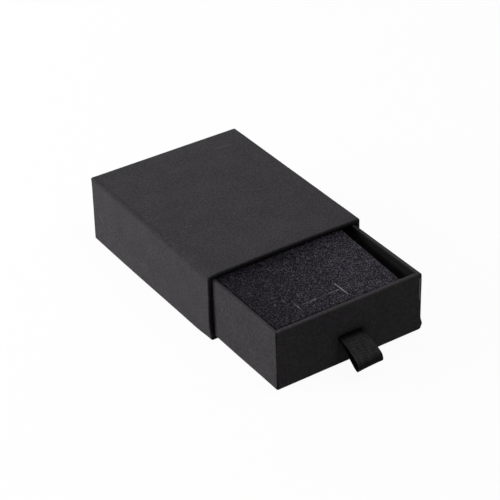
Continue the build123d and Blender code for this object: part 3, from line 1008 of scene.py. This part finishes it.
def make_foam_pad():
    """The foam pad: napped top, askew right side, and cuts with raised lips."""
    top = pad_top()
    wear = cut_pad(top)
    work = Work()
    index = work.add(top, wear)
    work.skin(index)
    rows, columns = index.shape
    loop = border(range(rows), range(columns))
    rim = np.array([top[place] for place in loop])
    out = np.array([((j == columns - 1) - (j == 0), (i == rows - 1) - (i == 0)) for i, j in loop],
                   float)
    numbers = [np.array([index[place] for place in loop])]
    tall = PAD_HIGH[2] - PAD_LOW[2]
    # (how far out, how far down, wear) of the rings from the top's rim to the underside
    steps = [(PAD_EDGE * math.sin(a), PAD_EDGE * (1 - math.cos(a)), mark)
             for a, mark in zip(np.radians([30, 60, 90]), (0.2, 0.35, 0.2))]
    steps += [(PAD_EDGE, depth, 0.0) for depth in np.linspace(PAD_EDGE, tall, 26)[1:]]
    for reach, drop, mark in steps:
        ring = rim.copy()
        ring[:, :2] += out * reach
        ring[:, 2] = PAD_HIGH[2] - drop + (rim[:, 2] - PAD_HIGH[2]) * (drop < 2)
        if PAD_EDGE < drop < tall - 0.1:
            ring[:, :2] += out * (0.08 * ripple(ring, 0.9, 14) - 0.06)[:, None]
        # painted shade on the pad's left side, down in the narrow gap beside the tray's wall
        gap_painted_shade = np.clip(-out[:, 0], 0, 1) * min(1.0, drop * 3) * 0.8
        numbers.append(work.add(ring, mark * np.clip(out[:, 0], 0, 1) - gap_painted_shade))
    work.skin(np.array(numbers)[::-1], closed=True)
    work.faces.append(tuple(reversed(numbers[-1])))
    pad = work.piece("foam_insert", finishes()["foam"], "tray", ["foam_pad"], sharp=70)
    return pad


# ---- the ribbon

LOOP_REACH = (11.9, 13.2)     # how far the loop stands out at its left and right edge
ROOT = 0.6                    # how far out the ribbon stays level at the slit
# places along the loop from top to bottom: how far out, as a share of its reach, and how far each
# edge has fallen there
LOOP_OUT = (0.2, 0.45, 0.7, 0.88, 0.965, 1.0, 0.975, 0.89, 0.64, 0.38, 0.16)
LOOP_FALL_LEFT = (0.35, 1.4, 2.9, 4.2, 5.2, 6.4, 7.4, 7.75, 5.6, 3.3, 1.3)
LOOP_FALL_RIGHT = (0.1, 0.7, 1.6, 2.6, 3.6, 4.8, 5.7, 6.0, 4.2, 2.4, 1.0)


def curve_through(points, count):
    """A smooth line through points, as evenly spaced points on it, and its length."""
    points = np.array(points, float)
    ahead = np.vstack([2 * points[0] - points[1], points, 2 * points[-1] - points[-2]])
    fine = []
    for p0, p1, p2, p3 in zip(ahead, ahead[1:], ahead[2:], ahead[3:]):
        for t in np.linspace(0, 1, 24, endpoint=False):
            fine.append(0.5 * (2 * p1 + (p2 - p0) * t + (2 * p0 - 5 * p1 + 4 * p2 - p3) * t ** 2
                               + (3 * p1 - p0 - 3 * p2 + p3) * t ** 3))
    fine = np.array(fine + [points[-1]])
    far = np.concatenate([[0], np.cumsum(np.linalg.norm(np.diff(fine, axis=0), axis=1))])
    want = np.linspace(0, far[-1], count)
    return np.stack([np.interp(want, far, fine[:, k]) for k in range(3)], axis=1), far[-1]


def ribbon_edge(x, reach, falls):
    """One edge of the ribbon: its pasted end, the loop in front, and its other pasted end."""
    face = TRAY_LOW[1]
    half_thick = 0.175
    inner = RIBBON_HIGH[1] - half_thick
    middle = (RIBBON_LOW[2] + RIBBON_HIGH[2]) / 2
    half_gap = 0.2
    up, low = middle + half_gap, middle - half_gap
    points = [(inner, RIBBON_HIGH[2]), (inner, up + 4), (inner, up + 1.2), (inner - 0.12, up + 0.28),
              (inner - 0.5, up), (inner - 1.3, up), (face, up), (face - ROOT, up)]
    points += [(face - ROOT - (reach - ROOT) * out, up - fall) for out, fall in zip(LOOP_OUT, falls)]
    points += [(face - ROOT, low), (face, low), (inner - 1.3, low), (inner - 0.5, low),
               (inner - 0.12, low - 0.28), (inner, low - 1.2), (inner, low - 4), (inner, RIBBON_LOW[2])]
    return [(x, y, z) for y, z in points]


def make_ribbon():
    """The ribbon pull, from one pasted end through the slit, round its loop and back."""
    width = round(RIBBON_HIGH[0] - RIBBON_LOW[0], 3)
    count, across = 190, 27
    left, left_length = curve_through(ribbon_edge(-width / 2, LOOP_REACH[0], LOOP_FALL_LEFT), count)
    right, right_length = curve_through(ribbon_edge(width / 2, LOOP_REACH[1], LOOP_FALL_RIGHT), count)
    length = (left_length + right_length) / 2
    share, part = np.linspace(0, 1, across), np.arange(count) / (count - 1)
    rows = left[:, None, :] * (1 - share)[None, :, None] + right[:, None, :] * share[None, :, None]
    normal = np.cross(np.gradient(rows, axis=1), np.gradient(rows, axis=0))
    normal /= np.linalg.norm(normal, axis=2, keepdims=True)
    outside = smooth((TRAY_LOW[1] - 0.5 - rows[:, :, 1]) / 3)
    rows[:, :, 2] += 0.16 * (1 - (2 * share - 1) ** 2)[None, :] * outside
    # the lower layer lies a little askew under the upper one
    askew = smooth((part - 0.46) / 0.12) * smooth((0.80 - part) / 0.16)
    rows[:, :, 0] -= 0.35 * askew[:, None] * outside
    lay = np.stack([*np.broadcast_arrays(share * width, part[:, None] * length),
                    np.zeros(rows.shape[:2])], axis=2).reshape(-1, 3)
    thickness = bpy.context.scene.box_ribbon.thickness / MM
    work = Work()
    work.skin(work.add(rows + normal * thickness / 2))
    work.thicken(thickness)
    # painted shade inside the loop, where it turns down, and in the slit; the face inside the loop is
    # also the ribbon's duller back
    nose_shade = -0.8 * smooth((part - 0.415) / 0.075)
    slit_shadow = -0.9 * smooth(1 - (TRAY_LOW[1] - rows[:, :, 1]) / 3.0)
    outer = np.minimum(nose_shade[:, None], slit_shadow)
    work.wear = [-0.85] * outer.size + list(outer.ravel())
    ribbon = work.piece("ribbon_pull", finishes()["ribbon"], None,
                        ["ribbon_loop", "ribbon_ends"], lay=np.concatenate([lay, lay]))
    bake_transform(ribbon)
    return ribbon


# ---- the stage

# each light's name, place and size in metres, and the setting with its power
LIGHTS = (("side_light", (-0.75, 0.45, 0.27), (0.7, 0.42), "key"),
          ("back_light", (0.15, 1.0, 0.30), (0.9, 0.35), "back"),
          ("front_light", (0.35, -0.55, 1.05), (0.45, 0.45), "front"),
          ("top_light", (-0.1, 0.1, 1.3), (1.0, 1.0), "fill"))
LIT_POINT = (0, -0.02, 0.01)     # what the lights face
# the camera that was fitted to the photo, in metres and degrees
CAMERA_PLACE = (-0.298500, -0.496352, 0.382427)
CAMERA_TURN = (56.8124, 1.7984, -33.2279)
GLOW_SHARE = 0.95     # how much of the floor's white is its own; the rest takes the shadow
# the floor and backdrop, in millimetres
FLOOR_HALF = 3000       # half of its width
FLOOR_FRONT = -3000     # its front edge
SWEEP_START = 1200      # where it starts to turn up
SWEEP_RADIUS = 800
SWEEP_TOP = 3000


def make_stage():
    """A pale floor that sweeps up behind, soft lights and the camera."""
    scene = bpy.context.scene
    use = scene.box_stage
    make_sweep(use)
    for name, place, size, setting in LIGHTS:
        make_light(name, place, size, getattr(use, setting))
    world = bpy.data.worlds.new("room")
    scene.world = world
    world.use_nodes = True
    world.node_tree.nodes["Background"].inputs["Color"].default_value = (1, 1, 1, 1)
    world.node_tree.nodes["Background"].inputs["Strength"].default_value = use.sky
    scene.view_settings.view_transform = "Standard"
    camera = bpy.data.cameras.new("camera")
    camera.lens = use.lens
    camera.sensor_width = 36
    camera.clip_start, camera.clip_end = 0.01, 20
    holder = bpy.data.objects.new("camera", camera)
    holder.location = CAMERA_PLACE
    holder.rotation_euler = [math.radians(a) for a in CAMERA_TURN]
    scene.collection.objects.link(holder)
    scene.camera = holder


def backdrop_material(use):
    """White to the camera and in reflections, with the box's shadow; plain grey to other light."""
    material, tree, main, _ = shader("backdrop", roughness=1.0, specular=0.0, sheen=0.0)
    glow = add(tree, "ShaderNodeEmission", {"Color": (1, 1, 1, 1), "Strength": 1.0})
    path = add(tree, "ShaderNodeLightPath").outputs
    seen = path["Is Camera Ray"]
    for other in ("Is Glossy Ray", "Is Transmission Ray"):
        seen = add(tree, "ShaderNodeMath", {0: seen, 1: path[other]}, operation="MAXIMUM").outputs[0]
    colour = blend_colour(tree, seen, shade(use.floor_colour), (1, 1, 1, 1))
    tree.links.new(colour, main.inputs["Base Color"])
    share = product(tree, seen, GLOW_SHARE)
    mixed = add(tree, "ShaderNodeMixShader", {0: share, 1: main.outputs[0], 2: glow.outputs[0]})
    tree.links.new(mixed.outputs[0], tree.nodes["Material Output"].inputs["Surface"])
    return material


def make_sweep(use):
    """The floor and backdrop in one sheet."""
    profile = [(FLOOR_FRONT, 0), (0, 0), (SWEEP_START, 0)]
    profile += [(SWEEP_START + SWEEP_RADIUS * math.sin(a), SWEEP_RADIUS * (1 - math.cos(a)))
                for a in np.radians(range(10, 91, 10))]
    profile += [(SWEEP_START + SWEEP_RADIUS, SWEEP_TOP)]
    work = Work()
    work.skin(work.add(np.array([[(x, y, z) for y, z in profile] for x in (FLOOR_HALF, -FLOOR_HALF)])))
    new_object("backdrop", work.points, work.faces, backdrop_material(use))


def make_light(name, place, size, power):
    """A soft light that faces the box."""
    lamp = bpy.data.lights.new(name, "AREA")
    lamp.shape = "RECTANGLE"
    lamp.size, lamp.size_y = size
    lamp.energy = power
    holder = bpy.data.objects.new(name, lamp)
    holder.location = place
    aim = Vector(LIT_POINT) - Vector(place)
    holder.rotation_euler = aim.to_track_quat("-Z", "Y").to_euler()
    bpy.context.scene.collection.objects.link(holder)


# ---- operators and panel


def finish_node(node):
    """Gives a packed piece the finish of its slot."""
    part = frame["nodes"][node]
    slots = {row["node"]: row["material_slot"] for row in frame["record"]["subparts"]}
    material = finishes()[slots[node]]
    if not part.material_slots:
        part.data.materials.append(material)
    for place in part.material_slots:
        place.material = material


class BOX_OT_sleeve_cover(bpy.types.Operator):
    """Make the sleeve's covering paper"""

    bl_idname = "drawer_box.sleeve_cover"
    bl_label = "Sleeve covering"

    def execute(self, context):
        make_sleeve_cover()
        return {"FINISHED"}


class BOX_OT_sleeve_stock(bpy.types.Operator):
    """Make the sleeve's boards, tapes, lining and cover sheets"""

    bl_idname = "drawer_box.sleeve_stock"
    bl_label = "Sleeve boards and sheets"

    def execute(self, context):
        make_board("sleeve_top_board", (30, 2))
        make_board("sleeve_bottom_board", (30, 2))
        make_board("sleeve_left_board", (2, 14))
        make_sleeve_tapes()
        for node in ("sleeve_right_board", "sleeve_back_board", "sleeve_lining",
                     "sleeve_underside_sheet", "sleeve_back_sheet"):
            finish_node(node)
        return {"FINISHED"}


class BOX_OT_tray_cover(bpy.types.Operator):
    """Make the tray's covering paper with its flaps and slit"""

    bl_idname = "drawer_box.tray_cover"
    bl_label = "Tray covering"

    def execute(self, context):
        make_tray_cover()
        return {"FINISHED"}


class BOX_OT_tray_stock(bpy.types.Operator):
    """Finish the tray's boards, tapes and lining"""

    bl_idname = "drawer_box.tray_stock"
    bl_label = "Tray boards and lining"

    def execute(self, context):
        for part in ("base_board", "front_board", "back_board", "left_board", "right_board",
                     "corner_tapes", "lining"):
            finish_node("tray_" + part)
        return {"FINISHED"}


class BOX_OT_foam_pad(bpy.types.Operator):
    """Make the foam pad with its cuts"""

    bl_idname = "drawer_box.foam_pad"
    bl_label = "Foam pad"

    def execute(self, context):
        make_foam_pad()
        return {"FINISHED"}


class BOX_OT_ribbon(bpy.types.Operator):
    """Make the ribbon pull"""

    bl_idname = "drawer_box.ribbon"
    bl_label = "Ribbon pull"

    def execute(self, context):
        make_ribbon()
        return {"FINISHED"}


class BOX_OT_stage(bpy.types.Operator):
    """Make the floor, the lights and the camera"""

    bl_idname = "drawer_box.stage"
    bl_label = "Stage"

    def execute(self, context):
        make_stage()
        return {"FINISHED"}


OPERATORS = (
    BOX_OT_stage,
    BOX_OT_sleeve_cover,
    BOX_OT_sleeve_stock,
    BOX_OT_tray_cover,
    BOX_OT_tray_stock,
    BOX_OT_foam_pad,
    BOX_OT_ribbon,
)


class BOX_PT_panel(bpy.types.Panel):
    """Lists the box's sizes, colours and steps."""

    bl_idname = "BOX_PT_panel"
    bl_label = "Drawer box"
    bl_space_type = "VIEW_3D"
    bl_region_type = "UI"
    bl_category = "Drawer box"

    def draw(self, context):
        for operator in OPERATORS:
            self.layout.operator(operator.bl_idname)
        for name, group in GROUPS.items():
            box = self.layout.box()
            box.label(text=group.__doc__)
            for key in group.__annotations__:
                box.prop(getattr(context.scene, name), key)


def register():
    """Registers the settings, the operators and the panel."""
    for name, group in GROUPS.items():
        bpy.utils.register_class(group)
        setattr(bpy.types.Scene, name, PointerProperty(type=group))
    for kind in (*OPERATORS, BOX_PT_panel):
        bpy.utils.register_class(kind)


def unregister():
    """Takes the panel, the operators and the settings away again."""
    for kind in (BOX_PT_panel, *reversed(OPERATORS)):
        bpy.utils.unregister_class(kind)
    for name, group in reversed(GROUPS.items()):
        delattr(bpy.types.Scene, name)
        bpy.utils.unregister_class(group)


def main():
    """Registers everything and makes the box in order."""
    register()
    for operator in OPERATORS:
        group, step = operator.bl_idname.split(".")
        getattr(getattr(bpy.ops, group), step)()
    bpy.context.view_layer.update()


if __name__ == "__main__":
    main()
